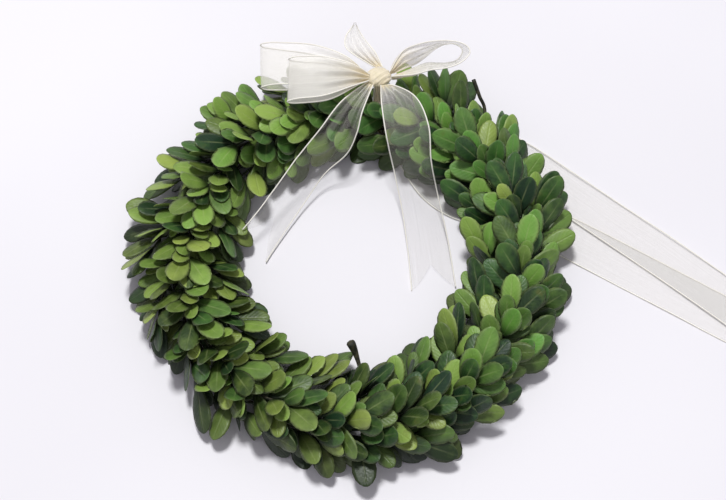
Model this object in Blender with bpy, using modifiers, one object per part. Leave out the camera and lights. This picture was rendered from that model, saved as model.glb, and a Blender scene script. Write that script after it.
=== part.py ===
# Preserved boxwood wreath with a sheer ribbon bow, lying on its back, seen from above with +Y at its top.
# A hoop of steel wire carries bunches of leafy sprigs, bound on by a thin wire that winds round the hoop.
# Lengths are in metres, +Z is up, and the origin is under the middle of the whole object.
import math
import random

import bmesh
import bpy
from mathutils import Quaternion, Vector
from mathutils.bvhtree import BVHTree

mm = 0.001
up = Vector((0, 0, 1))
touchGap = 0.3 * mm

# The point on the surface that the bow's and ribbon's places are measured from, near the wreath's middle
bowOrigin = Vector((-71.3, -16.1, 0)) * mm

# The hoop and its binding
hoopRadius = 94 * mm
hoopWire = 4 * mm
hoopSegments = 48
hoopCentre = bowOrigin + Vector((2, 6.5, 14)) * mm
bindingWire = 0.7 * mm
bindingReach = 5.1 * mm
bindingPointsPerTurn = 8

# The sprigs: each bunch has one stem on the outer side, one on top and one on the inner side
bunchCount = 16
laneAngles = (8, 90, 172)
firstBunch = 8.7
sprigSeed = 100
stemWidth = 2.0 * mm
capWeld = 0.01 * mm
stemLength = 58 * mm
boundLength = 14 * mm
boundReach = 3.45 * mm
tipReach = 16 * mm
tipShare = 0.5
tipWander = 1.5 * mm
stemDrift = 7
stemFlare = 1.25
freeSteps = 3

# The leaves: pairs along a stem as (place along it, spread from it, turns round it), tip pair first
leafLength = 26 * mm
leafWidth = 14.2 * mm
leafThickness = 0.7 * mm
leafArch = 2.4 * mm
leafUpturn = 0.8
leafBelly = 0.6
leafPairs = ((56, 28, (-60, 46)), (46, 50, (-26, 80)), (36, 52, (-78, 30)), (26, 55, (-40, 68)))
leafStations = (0.0, 0.45, 0.78, 1.0)
leafHalfWidths = (0.0, 0.42, 0.47, 0.0)
leafBound = 0.7
leafWander = 1.5 * mm
surfaceClear = 0.4 * mm

# Leaves of one sprig may touch over this share of their length from the root, where they are fused anyway
freeShare = 0.24

# A leaf that finds no free place is tried again, each time further off its first direction, at last smaller
leafTries = 34
fullTries = 18
fullSizes = (0.92, 1.06)
smallSizes = (0.74, 0.9)
firstWander, nextWander = 5, 1.1
firstRoll, nextRoll = 8, 0.6

# Bare twigs as (sprig, place along it, points): a cut stub in the hole and a twig at the top right
spurs = ((33, 50 * mm, ((7.2, -62, 18), (5.6, -54, 20.5), (4, -48.5, 24.5), (2.5, -45.5, 30))),
         (4, 26 * mm, ((78.1, 99.8, 20), (74.7, 107.3, 27), (71.2, 114, 34))))

# Leaves that rest flat on the surface: place on the stem, lean forward and drop of the first part
restingAlong = 36 * mm
restingForward = 0.7
restingDrop = 0.42

# How far the foliage reaches from the wreath's middle, outward and inward, at each bunch from +X round
outerReach = (127, 129, 131, 134, 124, 131, 135, 136, 132, 121, 114, 113, 122, 116, 113, 115)
innerReach = (64, 66, 67, 66, 66, 65, 61, 60, 53, 51, 53, 54, 54, 54, 51, 51)

# The ribbon
ribbonWidth = 25 * mm
ribbonThickness = 0.6 * mm
bandTurn = 82
bandReach = 6.5 * mm
bandWidth = 5 * mm
knotCentre = (16, 112, 41.5)
knotSize = (15, 12, 10)
# Leaf tips keep this far from the knot's middle, where the gathered ribbon spreads from it
knotClear = 19 * mm


def place(x, y, z):
    return bowOrigin + Vector((x, y, z)) * mm


def ringPoint(turn, side, reach):
    # turn goes round the wreath, side goes round the hoop's wire from its outer side up over the top
    outward = Vector((math.cos(turn), math.sin(turn), 0))
    return hoopCentre + outward * (hoopRadius + reach * math.cos(side)) + up * (reach * math.sin(side))


def smoothPoint(points, u):
    # Catmull-Rom curve through all the points, u from 0 to 1
    spot = min(max(u, 0.0), 1.0) * (len(points) - 1)
    i = min(int(spot), len(points) - 2)
    t = spot - i
    a, b, c, d = points[max(i - 1, 0)], points[i], points[i + 1], points[min(i + 2, len(points) - 1)]
    bend = a * 2 - b * 5 + c * 4 - d
    return (b * 2 + (c - a) * t + bend * t ** 2 + (b * 3 - a - c * 3 + d) * t ** 3) / 2


# Ribbon pieces: pairs of edge points in millimetres, from the knot outward
def edgePairs(*pairs):
    return [(place(*first), place(*second)) for first, second in pairs]


def stripPairs(*stations):
    # Each station is x, y, z, the share of the full width and the bearing of the width in degrees
    pairs = []
    for x, y, z, share, bearing in stations:
        across = Vector((math.cos(math.radians(bearing)), math.sin(math.radians(bearing)), 0))
        half = across * ribbonWidth * share / 2
        pairs.append((place(x, y, z) + half, place(x, y, z) - half))
    return pairs


def bandPairs():
    # The gathered band drops from the knot between the leaves, goes round the bound stems and comes back
    turn = math.radians(bandTurn)
    halfWidth = Vector((-math.sin(turn), math.cos(turn), 0)) * bandWidth / 2
    route = [(12.5, 22), (11, 16), (8, 9.5)]
    route += [(bandReach / mm * math.cos(math.radians(a)), bandReach / mm * math.sin(math.radians(a)))
              for a in range(35, -256, -29)]
    route += [(3, 10.5), (6.5, 16), (9, 22)]
    outward = Vector((math.cos(turn), math.sin(turn), 0))
    pairs = []
    for out, rise in route:
        centre = hoopCentre + outward * (hoopRadius + out * mm) + up * rise * mm
        pairs.append((centre + halfWidth, centre - halfWidth))
    return pairs


leftTail = {
    "edges": edgePairs(((9.5, 107.8, 43.4), (13, 106.3, 42.8)), ((-3, 96, 45.5), (7, 89, 44)),
                       ((-10, 88, 45.5), (4, 79, 38)), ((-18, 77, 43), (-2, 71, 27)),
                       ((-28, 66, 36), (-15, 64, 15)), ((-42, 50, 27), (-27, 48, 6)),
                       ((-61, 28, 17), (-48, 14, 2))),
    "rows": 10, "columns": 2, "notch": 0.10}
rightTail = {
    "edges": edgePairs(((17.5, 105.9, 43.2), (21.5, 106.8, 42.6)), ((18, 92, 45.5), (37, 96, 47.5)),
                       ((21, 73, 40), (44, 78, 48.5)), ((25, 61, 22), (46, 62, 36)),
                       ((30, 44, 8), (50, 50, 16)), ((33, 21, 2.5), (56, 26, 5)),
                       ((35, -3, 1), (60, -1, 1))),
    "rows": 10, "columns": 2, "notch": 0.10}
backLoop = {
    "edges": edgePairs(((8.7, 114, 42.2), (8.7, 110.5, 41.8)), ((-3, 123, 46), (-3, 108, 45.5)),
                       ((-22, 131, 45), (-21, 107, 43.5)), ((-42, 134, 42.5), (-41, 108, 40.5)),
                       ((-50, 134.5, 40.5), (-49, 108, 38)), ((-52, 134.3, 38), (-51, 108, 35.5)),
                       ((-49, 134, 36), (-48, 108, 33.5)), ((-40, 133, 35.5), (-40, 108, 33)),
                       ((-22, 129, 37.5), (-22, 107, 36)), ((-4, 121, 40), (-4, 108.5, 39)),
                       ((8.7, 114, 40.9), (8.7, 111, 40.5))),
    "rows": 18, "columns": 2, "notch": 0.0}
frontLoop = {
    "edges": edgePairs(((11, 111.5, 46.3), (10.5, 108, 45)), ((0, 115, 52), (1, 101, 51)),
                       ((-15, 117.5, 55.5), (-14, 94, 54)), ((-28, 118, 55.5), (-28, 92.5, 53.5)),
                       ((-33.5, 118, 54), (-33.5, 92, 52)), ((-35, 117.8, 52), (-35, 92, 50)),
                       ((-33, 117.5, 50.5), (-33, 92, 48.7)), ((-27, 117.3, 50), (-27, 92.5, 48)),
                       ((-13, 116.5, 50), (-12, 94.5, 48.6)), ((1, 112.5, 48), (2, 103, 47)),
                       ((8.2, 110.3, 45), (8.2, 108, 43.7))),
    "rows": 18, "columns": 2, "notch": 0.0}
rightLoop = {
    "edges": edgePairs(((22.6, 114.3, 43.9), (22.9, 114.4, 40.6)), ((30, 123, 51), (30.5, 118, 38.5)),
                       ((39.5, 124.8, 56), (39, 123.5, 37)), ((49.5, 125.6, 58.5), (48.5, 132.5, 36.5)),
                       ((59.5, 125.6, 59.5), (57.5, 136.3, 36.5)), ((66.3, 122.6, 59.5), (63.5, 134, 36.5)),
                       ((67.7, 118, 58.5), (64.2, 130, 36.5)), ((62.5, 113.2, 57.5), (60.5, 125.7, 36.5)),
                       ((54.7, 111, 56), (53.5, 124, 36.5)), ((45, 110.8, 54), (44.2, 123.5, 36.5)),
                       ((35.6, 109.8, 50.5), (35, 118, 37.5)), ((23.3, 111.3, 43.7), (23.6, 111.3, 40.2))),
    "rows": 22, "columns": 2, "notch": 0.0}
shortEnd = {
    "edges": edgePairs(((13.5, 118, 42.8), (18.5, 118, 42.6)), ((-1, 127, 46.5), (14, 127, 45.5)),
                       ((-2.8, 136.5, 45), (8, 136.5, 44)), ((1.8, 146.2, 42), (3.4, 146.2, 42))),
    "rows": 6, "columns": 2, "notch": 0.0}
looseLoop = {
    "edges": stripPairs((17, 99, 6.2, 0.2, 90), (30, 97, 3.4, 0.52, 90), (50, 95, 1.6, 0.84, 86),
                        (75, 90, 1.5, 1, 76), (97, 79, 1.5, 1, 60), (124, 59, 1.5, 1, 53),
                        (152, 38, 1.5, 1, 52.6), (180, 17, 1.5, 1, 52.6), (207, -4, 1.5, 1, 52.6),
                        (231, -23, 2.6, 1, 53), (250, -37.5, 4.2, 1, 55), (260, -44.5, 4.1, 1, 56),
                        (263.5, -47, 2.3, 1, 56), (259, -44, 0.5, 1, 57), (244, -36, 0.4, 1, 59),
                        (217, -22.5, 0.4, 1, 60), (190, -7, 0.4, 1, 60.4), (162, 9, 0.4, 1, 60.4),
                        (134, 25, 0.4, 1, 60.4), (110, 37.5, 0.4, 1, 60.8), (86, 46.5, 0.4, 1, 62),
                        (63, 53.5, 0.4, 0.96, 62), (46, 64.5, 0.4, 0.8, 58), (30, 83, 1.4, 0.46, 56),
                        (16.5, 98, 4.9, 0.2, 60)),
    "rows": 36, "columns": 1, "notch": 0.0}
tieBand = {"edges": bandPairs(), "rows": 20, "columns": 1, "notch": 0.0}
ribbons = {"ribbon_band": tieBand, "bow_loop_left_back": backLoop, "bow_loop_left_front": frontLoop,
           "bow_loop_right": rightLoop, "bow_short_end": shortEnd, "bow_tail_left": leftTail,
           "bow_tail_right": rightTail, "hanging_ribbon": looseLoop}


def ribbonPoint(ribbon, u, v):
    # u runs along the ribbon and v across it; a notched end is cut back most at its middle
    u *= 1 - ribbon["notch"] * (1 - abs(2 * v - 1))
    first = smoothPoint([pair[0] for pair in ribbon["edges"]], u)
    second = smoothPoint([pair[1] for pair in ribbon["edges"]], u)
    return first.lerp(second, v)


def ribbonGrid(ribbon):
    rows, columns = ribbon["rows"], ribbon["columns"]
    points = [ribbonPoint(ribbon, r / rows, c / columns)
              for r in range(rows + 1) for c in range(columns + 1)]
    faces = []
    for r in range(rows):
        for c in range(columns):
            a = r * (columns + 1) + c
            faces += [(a, a + 1, a + columns + 2), (a, a + columns + 2, a + columns + 1)]
    return points, faces


# Sprigs
def makeSprig(number):
    bunch, lane = divmod(number, len(laneAngles))
    draw = random.Random(sprigSeed + number)
    start = firstBunch + laneAngles[lane] / bunchCount + bunch * 360 / bunchCount
    return {"name": f"sprig_{number + 1:02d}", "lane": lane, "bunch": bunch,
            "turn": math.radians(start) - boundLength / 2 / hoopRadius,
            "side": math.radians(laneAngles[lane]),
            "drift": math.radians(draw.uniform(-stemDrift, stemDrift)),
            "tipReach": laneReach(lane, start) + draw.uniform(-tipWander, tipWander),
            "leaves": [], "spurs": []}


def laneReach(lane, degrees):
    # How far the stems' tips stand off the hoop: further where the foliage is wider
    turn = math.radians(degrees)
    if lane == 1:
        return tipReach
    wide = reachAt(outerReach, turn) - hoopRadius if lane == 0 else hoopRadius - reachAt(innerReach, turn)
    return wide * tipShare


def reachAt(table, turn):
    spot = (turn / (2 * math.pi) * bunchCount) % bunchCount
    i = int(spot)
    return (table[i] + (table[(i + 1) % bunchCount] - table[i]) * (spot - i)) * mm


def stemPoint(sprig, along):
    rise = max(0.0, (along - boundLength) / (stemLength - boundLength))
    reach = boundReach + (sprig["tipReach"] - boundReach) * rise ** stemFlare
    return ringPoint(sprig["turn"] + along / hoopRadius, sprig["side"] + sprig["drift"] * rise, reach)


def awayFromHoop(point):
    flat = Vector((point.x - hoopCentre.x, point.y - hoopCentre.y, 0))
    return (point - hoopCentre - flat.normalized() * hoopRadius).normalized()


def tubeShape(points, radius):
    # A four-sided tube, for testing what stands in a leaf's way
    corners, faces = [], []
    for i, point in enumerate(points):
        heading = (points[min(i + 1, len(points) - 1)] - points[max(i - 1, 0)]).normalized()
        side = heading.cross(up if abs(heading.z) < 0.9 else Vector((1, 0, 0))).normalized() * radius
        lift = heading.cross(side).normalized() * radius
        corners += [point + side, point + lift, point - side, point - lift]
        if i:
            b = 4 * i
            faces += [(b + k, b + (k + 1) % 4, b - 4 + (k + 1) % 4, b - 4 + k) for k in range(4)]
    return corners, faces


def stemPoints(sprig):
    bound = [boundLength * i / 2 for i in range(3)]
    free = [boundLength + (stemLength - boundLength) * (i + 1) / freeSteps for i in range(freeSteps)]
    return [stemPoint(sprig, along) for along in bound + free]


# Leaves
def leafCentre(leaf, share):
    i = 0
    while share > leafStations[i + 1]:
        i += 1
    t = (share - leafStations[i]) / (leafStations[i + 1] - leafStations[i])
    halfWidth = leafHalfWidths[i] * (1 - t) + leafHalfWidths[i + 1] * t
    return leaf["centres"][i].lerp(leaf["centres"][i + 1], t), halfWidth * leaf["width"]


def bladeShape(leaf, grow=0.0, start=0.0):
    # A thin closed blade, widest past its middle: it runs to a point at the root and at the tip
    half = leafThickness / 2 + grow
    centre, halfWidth = leafCentre(leaf, start)
    tip = leaf["centres"][3] + (leaf["centres"][3] - leaf["centres"][2]).normalized() * grow
    points = [centre, tip - leaf["faces"][3] * half]
    for i in (1, 2):
        across = leaf["across"] * (leafHalfWidths[i] * leaf["width"] + grow)
        lift = leaf["faces"][i] * half
        middle = leaf["centres"][i]
        points += [middle - across + lift, middle + across + lift,
                   middle + across - lift, middle - across - lift]
    faces = []
    for i in range(4):
        j = (i + 1) % 4
        faces += [(0, 2 + j, 2 + i), (2 + i, 2 + j, 6 + j), (2 + i, 6 + j, 6 + i), (6 + i, 6 + j, 1)]
    return points, faces


def aimLeaf(sprig, along, spread, around, roll, size):
    root = stemPoint(sprig, along)
    heading = (stemPoint(sprig, along + mm) - stemPoint(sprig, along - mm)).normalized()
    away = awayFromHoop(root)
    away = (away - heading * away.dot(heading)).normalized()
    sideways = away * math.cos(around) + heading.cross(away) * math.sin(around)
    direction = heading * math.cos(spread) + sideways * math.sin(spread)
    length = leafLength * size
    face = awayFromHoop(root + direction * length * leafBelly) + up * leafUpturn
    face = (face - direction * face.dot(direction)).normalized()
    face = Quaternion(direction, roll) @ face
    centres = [root + direction * length * s - face * leafArch * s * s for s in leafStations]
    return {"centres": centres, "across": direction.cross(face), "faces": [face] * 4,
            "width": leafWidth * size, "length": length}


def restingLeaf(sprig, along, outward):
    # A leaf that comes down beside the stem and is pressed flat on the surface at its tip
    root = stemPoint(sprig, along)
    radial = Vector((root.x - hoopCentre.x, root.y - hoopCentre.y, 0)).normalized()
    forward = up.cross(radial)
    bearing = (radial * outward + forward * restingForward).normalized()
    heights = [root.z, root.z * restingDrop, leafThickness / 2, leafThickness / 2]
    centres = [root]
    for i in range(3):
        step = leafLength * (leafStations[i + 1] - leafStations[i])
        run = math.sqrt(step ** 2 - (heights[i + 1] - heights[i]) ** 2)
        centres.append(centres[-1] + bearing * run + up * (heights[i + 1] - heights[i]))
    slope = (centres[1] - centres[0]).normalized()
    across = bearing.cross(up)
    lean = across.cross(slope)
    return {"centres": centres, "across": across, "faces": [lean, lean, up, up], "width": leafWidth,
            "length": leafLength}


def leafFits(leaf, sprig, solids, ribbonTrees):
    points, faces = bladeShape(leaf)
    if not leaf.get("resting") and min(point.z for point in points) < surfaceClear:
        return False
    tip = leaf["centres"][3] - hoopCentre
    turn, far = math.atan2(tip.y, tip.x), math.hypot(tip.x, tip.y)
    if far > reachAt(outerReach, turn) or far < reachAt(innerReach, turn):
        return False
    if (leaf["centres"][3] - place(*knotCentre)).length < knotClear:
        return False
    whole = BVHTree.FromPolygons(*bladeShape(leaf, touchGap))
    blade = BVHTree.FromPolygons(*bladeShape(leaf, touchGap, freeShare))
    if any(blade.overlap(tree) for tree in ribbonTrees):
        return False
    middle = leaf["centres"][1]
    for owner, centre, size, tree, freeTree in solids:
        if (centre - middle).length > size + leaf["length"] * leafBound:
            continue
        if blade.overlap(freeTree) if owner == sprig["name"] else whole.overlap(tree):
            return False
    return True


def planWreath():
    # Places the stems first, then the leaves from the tips inward, each clear of all that is there already
    sprigs = [makeSprig(number) for number in range(bunchCount * len(laneAngles))]
    addSpurs(sprigs)
    ribbonTrees = []
    for ribbon in ribbons.values():
        points, faces = ribbonGrid(ribbon)
        lift = ribbonThickness / 2 + touchGap
        for shift in (-lift, lift):
            ribbonTrees.append(BVHTree.FromPolygons([point + up * shift for point in points], faces))
    ribbonTrees.append(BVHTree.FromPolygons(*knotShape()))
    hoop = [ringPoint(2 * math.pi * i / hoopSegments, 0, 0) for i in range(hoopSegments + 1)]
    core = BVHTree.FromPolygons(*tubeShape(hoop, hoopWire / 2))
    binding = bindingPoints()
    winding = BVHTree.FromPolygons(*tubeShape(binding + binding[:1], bindingWire / 2))
    solids = [("core", hoopCentre, 2 * hoopRadius, tree, tree) for tree in (core, winding)]
    for sprig in sprigs:
        for points in [stemPoints(sprig)] + sprig["spurs"]:
            middle = (points[0] + points[-1]) / 2
            reach = (points[0] - points[-1]).length / 2
            tree = BVHTree.FromPolygons(*tubeShape(points, stemWidth / 2))
            solids.append((sprig["name"], middle, reach, tree, tree))
    for sprig in sprigs:
        if sprig["lane"] != 1 and sprig["bunch"] % 2 == 0:
            leaf = restingLeaf(sprig, restingAlong, 1.0 if sprig["lane"] == 0 else -1.0)
            leaf["resting"] = True
            if leafFits(leaf, sprig, solids, ribbonTrees):
                addLeaf(sprig, leaf, solids)
    for pairNumber, (along, spread, turns) in enumerate(leafPairs):
        for sprig in sprigs:
            mirror = 1 if (sprig["bunch"] + sprig["lane"]) % 2 else -1
            for around in turns:
                placeLeaf(sprig, pairNumber, along * mm, spread, around * mirror, solids, ribbonTrees)
    return sprigs


def addLeaf(sprig, leaf, solids):
    sprig["leaves"].append(leaf)
    whole = BVHTree.FromPolygons(*bladeShape(leaf))
    blade = BVHTree.FromPolygons(*bladeShape(leaf, 0.0, freeShare))
    solids.append((sprig["name"], leaf["centres"][1], leaf["length"] * leafBound, whole, blade))


def placeLeaf(sprig, pairNumber, along, spread, around, solids, ribbonTrees):
    draw = random.Random(sprig["name"] + f"{pairNumber}{around}")
    for attempt in range(leafTries):
        wander = firstWander + nextWander * attempt
        size = draw.uniform(*(fullSizes if attempt < fullTries else smallSizes))
        spot = along + draw.uniform(-leafWander, leafWander)
        apart = math.radians(spread + draw.gauss(0, wander / 2))
        turned = math.radians(around + draw.gauss(0, wander))
        roll = math.radians(draw.gauss(0, firstRoll + nextRoll * attempt))
        leaf = aimLeaf(sprig, spot, apart, turned, roll, size)
        if leafFits(leaf, sprig, solids, ribbonTrees):
            addLeaf(sprig, leaf, solids)
            return


def addSpurs(sprigs):
    # Bare side twigs, each from a place along one sprig's stem to points in millimetres
    for number, along, points in spurs:
        sprig = sprigs[number - 1]
        sprig["spurs"].append([stemPoint(sprig, along)] + [place(*point) for point in points])


def bindingPoints():
    # One turn for each bunch, so that it crosses every stem at the middle of its bound length
    points = []
    for i in range(bunchCount * bindingPointsPerTurn):
        side = 2 * math.pi * i / bindingPointsPerTurn
        points.append(ringPoint(math.radians(firstBunch) + side / bunchCount, side, bindingReach))
    return points


def knotShape():
    ball = bmesh.new()
    bmesh.ops.create_uvsphere(ball, u_segments=10, v_segments=7, radius=0.5)
    points = [Vector([vertex.co[i] * knotSize[i] * mm for i in range(3)]) + place(*knotCentre)
              for vertex in ball.verts]
    faces = [[vertex.index for vertex in face.verts] for face in ball.faces]
    ball.free()
    return points, faces


# Building the objects
def addMaterial(name, color, roughness, metallic):
    material = bpy.data.materials.new(name)
    material.use_nodes = True
    shader = material.node_tree.nodes["Principled BSDF"]
    shader.inputs["Base Color"].default_value = (*color, 1)
    shader.inputs["Roughness"].default_value = roughness
    shader.inputs["Metallic"].default_value = metallic
    material.diffuse_color = (*color, 1)
    return material


def addMesh(name, points, faces, collection):
    mesh = bpy.data.meshes.new(name)
    mesh.from_pydata([tuple(point) for point in points], [], faces)
    item = bpy.data.objects.new(name, mesh)
    collection.objects.link(item)
    return item


def addWire(name, points, width, collection, closed=False, sides=0):
    curve = bpy.data.curves.new(name, "CURVE")
    curve.dimensions = "3D"
    curve.bevel_depth = width / 2
    curve.bevel_resolution = sides
    curve.use_fill_caps = not closed
    spline = curve.splines.new("POLY")
    spline.points.add(len(points) - 1)
    for target, point in zip(spline.points, points):
        target.co = (*point, 1)
    spline.use_cyclic_u = closed
    item = bpy.data.objects.new(name, curve)
    collection.objects.link(item)
    return item


def asMesh(item, collection, weldCaps=False):
    # Replaces a curve or a modified object by its evaluated mesh, a curve's loose caps welded
    mesh = bpy.data.meshes.new_from_object(item.evaluated_get(bpy.context.evaluated_depsgraph_get()))
    if weldCaps:
        work = bmesh.new()
        work.from_mesh(mesh)
        bmesh.ops.remove_doubles(work, verts=work.verts, dist=capWeld)
        work.to_mesh(mesh)
        work.free()
    name, matrix = item.name, item.matrix_world.copy()
    bpy.data.objects.remove(item)
    solid = bpy.data.objects.new(name, mesh)
    solid.matrix_world = matrix
    collection.objects.link(solid)
    return solid


def buildSprig(sprig, collection, workshop, material):
    stem = asMesh(addWire(sprig["name"], stemPoints(sprig), stemWidth, workshop), collection, True)
    grown = bpy.data.collections.new("grown")
    bpy.context.scene.collection.children.link(grown)
    for leaf in sprig["leaves"]:
        addMesh("leaf", *bladeShape(leaf), grown)
    for points in sprig["spurs"]:
        asMesh(addWire("spur", points, stemWidth, workshop), grown, True)
    union = stem.modifiers.new("grown", "BOOLEAN")
    union.operation = "UNION"
    union.operand_type = "COLLECTION"
    union.collection = grown
    union.solver = "EXACT"
    bpy.context.view_layer.update()
    solid = asMesh(stem, collection)
    for item in list(grown.objects):
        bpy.data.objects.remove(item)
    bpy.data.collections.remove(grown)
    solid.data.materials.append(material)
    return solid


def buildRibbon(name, ribbon, collection, material):
    item = addMesh(name, *ribbonGrid(ribbon), collection)
    thick = item.modifiers.new("thickness", "SOLIDIFY")
    thick.thickness = ribbonThickness
    thick.offset = 0
    item.data.materials.append(material)
    return item


def buildHoop(collection, material):
    bpy.ops.mesh.primitive_torus_add(major_radius=hoopRadius, minor_radius=hoopWire / 2,
                                     major_segments=hoopSegments, minor_segments=6, location=hoopCentre)
    hoop = bpy.context.active_object
    hoop.name = "wire_ring"
    for home in list(hoop.users_collection):
        home.objects.unlink(hoop)
    collection.objects.link(hoop)
    hoop.data.materials.append(material)


def buildBinding(collection, material):
    binding = addWire("binding_wire", bindingPoints(), bindingWire, collection, closed=True)
    binding.data.materials.append(material)


def main():
    for item in list(bpy.data.objects):
        bpy.data.objects.remove(item)
    parts = bpy.data.collections.new("boxwood_wreath")
    workshop = bpy.data.collections.new("workshop")
    for collection in (parts, workshop):
        bpy.context.scene.collection.children.link(collection)
    green = addMaterial("leaf", (0.16, 0.24, 0.05), 0.55, 0.0)
    steel = addMaterial("wire", (0.10, 0.14, 0.08), 0.45, 0.6)
    sheer = addMaterial("ribbon", (0.93, 0.91, 0.86), 0.6, 0.0)
    buildHoop(parts, steel)
    buildBinding(parts, steel)
    for sprig in planWreath():
        buildSprig(sprig, parts, workshop, green)
    for name, ribbon in ribbons.items():
        buildRibbon(name, ribbon, parts, sheer)
    knot = addMesh("bow_knot", *knotShape(), parts)
    knot.data.materials.append(sheer)


main()
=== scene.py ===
import math
import random

import bmesh
import bpy
import numpy as np
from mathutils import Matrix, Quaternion, Vector
from mathutils.bvhtree import BVHTree


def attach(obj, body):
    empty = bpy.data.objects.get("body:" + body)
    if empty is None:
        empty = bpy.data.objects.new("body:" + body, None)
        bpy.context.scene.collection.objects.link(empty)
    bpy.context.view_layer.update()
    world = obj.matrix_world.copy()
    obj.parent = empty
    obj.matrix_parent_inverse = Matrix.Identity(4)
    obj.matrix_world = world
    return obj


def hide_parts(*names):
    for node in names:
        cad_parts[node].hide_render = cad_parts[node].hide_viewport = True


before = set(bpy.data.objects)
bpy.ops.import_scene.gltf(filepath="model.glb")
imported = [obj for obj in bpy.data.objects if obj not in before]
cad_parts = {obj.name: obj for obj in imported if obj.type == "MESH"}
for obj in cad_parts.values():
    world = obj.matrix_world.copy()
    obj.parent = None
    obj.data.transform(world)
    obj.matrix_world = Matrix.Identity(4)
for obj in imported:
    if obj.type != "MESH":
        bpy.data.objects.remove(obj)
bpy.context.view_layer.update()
print("frame loaded:", len(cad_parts), "nodes")

mm = 0.001
up = Vector((0, 0, 1))

# The point on the surface that the bow's and ribbon's places are measured from, near the wreath's middle
bowOrigin = Vector((-71.3, -16.1, 0)) * mm

# The photograph's camera: it looks along +Y and down, at a target in millimetres from bowOrigin
view = {"elevation": 68, "distance": 1.0, "target": (7.3, 13.3, 22), "pixel": 0.561 * mm,
        "image": (726, 500)}

ring = {"radius": 94 * mm, "wire": 4 * mm, "segments": 48,
        "centre": bowOrigin + Vector((2, 6.5, 14)) * mm}
bindingPlan = {"wire": 0.7 * mm, "reach": 5.1 * mm, "pointsPerTurn": 8}

# Each bunch has one stem on the outer side, one on top and one on the inner side of the hoop
sprigPlan = {
    "bunches": 16, "laneAngles": (8, 90, 172), "firstBunch": 8.7, "seed": 100,
    "stemWidth": 2.0 * mm, "stemLength": 58 * mm, "boundLength": 14 * mm, "boundReach": 3.45 * mm,
    "tipReach": 16 * mm, "tipShare": 0.5, "tipWander": 1.5 * mm, "drift": 7, "flare": 1.25, "freeSteps": 3}

# The planned leaves, in pairs as (place along the stem, spread from it, turns round it)
leafPlan = {
    "length": 26 * mm, "width": 14.2 * mm, "thickness": 0.7 * mm,
    "arch": 2.4 * mm, "upturn": 0.8, "belly": 0.6,
    "pairs": ((56, 28, (-60, 46)), (46, 50, (-26, 80)), (36, 52, (-78, 30)), (26, 55, (-40, 68))),
    "stations": (0.0, 0.45, 0.78, 1.0), "halfWidths": (0.0, 0.42, 0.47, 0.0), "bound": 0.7,
    "wander": 1.5 * mm, "surfaceClear": 0.4 * mm, "gap": 0.3 * mm, "freeShare": 0.24,
    "tries": 34, "fullTries": 18, "fullSizes": (0.92, 1.06), "smallSizes": (0.74, 0.9),
    "firstWander": 5, "nextWander": 1.1, "firstRoll": 8, "nextRoll": 0.6}
restingPlan = {"along": 36 * mm, "forward": 0.7, "drop": 0.42}

# Bare twigs as (sprig, place along it, swelling of the cut end, points): one in the hole, one at the top
twigs = (
    (33, 50 * mm, 1.5 * mm, ((7.2, -62, 18), (5.6, -54, 20.5), (4, -48.5, 24.5), (2.5, -45.5, 30))),
    (4, 26 * mm, 0.2 * mm, ((78.1, 99.8, 20), (74.7, 107.3, 27), (71.2, 114, 34))))

# How far the foliage reaches from the wreath's middle, outward and inward, at each bunch from +X round
reachPlan = {
    "outer": (127, 129, 131, 134, 124, 131, 135, 136, 132, 121, 114, 113, 122, 116, 113, 115),
    "inner": (64, 66, 67, 66, 66, 65, 61, 60, 53, 51, 53, 54, 54, 54, 51, 51)}

ribbonPlan = {"width": 25 * mm, "thickness": 0.6 * mm}
# The band goes down and back through points (outward from the hoop, height), and round by angles
bandPlan = {"turn": 82, "reach": 6.5 * mm, "width": 5 * mm, "down": ((12.5, 22), (11, 16), (8, 9.5)),
            "round": range(35, -256, -29), "back": ((3, 10.5), (6.5, 16), (9, 22))}
# Leaf tips keep "clear" from the knot's middle, where the gathered ribbon spreads from it
knotPlan = {"centre": (16, 112, 41.5), "size": (15, 12, 10), "clear": 19 * mm}


def place(x, y, z):
    return bowOrigin + Vector((x, y, z)) * mm


def ringPoint(turn, side, reach):
    # turn goes round the wreath, side goes round the hoop's wire from its outer side up over the top
    outward = Vector((math.cos(turn), math.sin(turn), 0))
    far = ring["radius"] + reach * math.cos(side)
    return ring["centre"] + outward * far + up * (reach * math.sin(side))


def ribbonStrip(rows, columns, notch, edges):
    return {"rows": rows, "columns": columns, "notch": notch, "edges": edges}


def edgePairs(*stations):
    # Each station is a point on the first edge and one on the second, in millimetres from bowOrigin
    return [(place(*station[:3]), place(*station[3:])) for station in stations]


def stripPairs(*stations):
    # Each station is x, y, z, the share of the full width and the bearing of the width in degrees
    pairs = []
    for x, y, z, share, bearing in stations:
        across = Vector((math.cos(math.radians(bearing)), math.sin(math.radians(bearing)), 0))
        half = across * ribbonPlan["width"] * share / 2
        pairs.append((place(x, y, z) + half, place(x, y, z) - half))
    return pairs


def bandPairs():
    # The gathered band drops from the knot between the leaves, goes round the bound stems and comes back
    turn = math.radians(bandPlan["turn"])
    outward = Vector((math.cos(turn), math.sin(turn), 0))
    halfWidth = Vector((-math.sin(turn), math.cos(turn), 0)) * bandPlan["width"] / 2
    reach = bandPlan["reach"] / mm
    angles = [math.radians(angle) for angle in bandPlan["round"]]
    bend = [(reach * math.cos(angle), reach * math.sin(angle)) for angle in angles]
    pairs = []
    for out, rise in [*bandPlan["down"], *bend, *bandPlan["back"]]:
        centre = ring["centre"] + outward * (ring["radius"] + out * mm) + up * rise * mm
        pairs.append((centre + halfWidth, centre - halfWidth))
    return pairs


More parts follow.
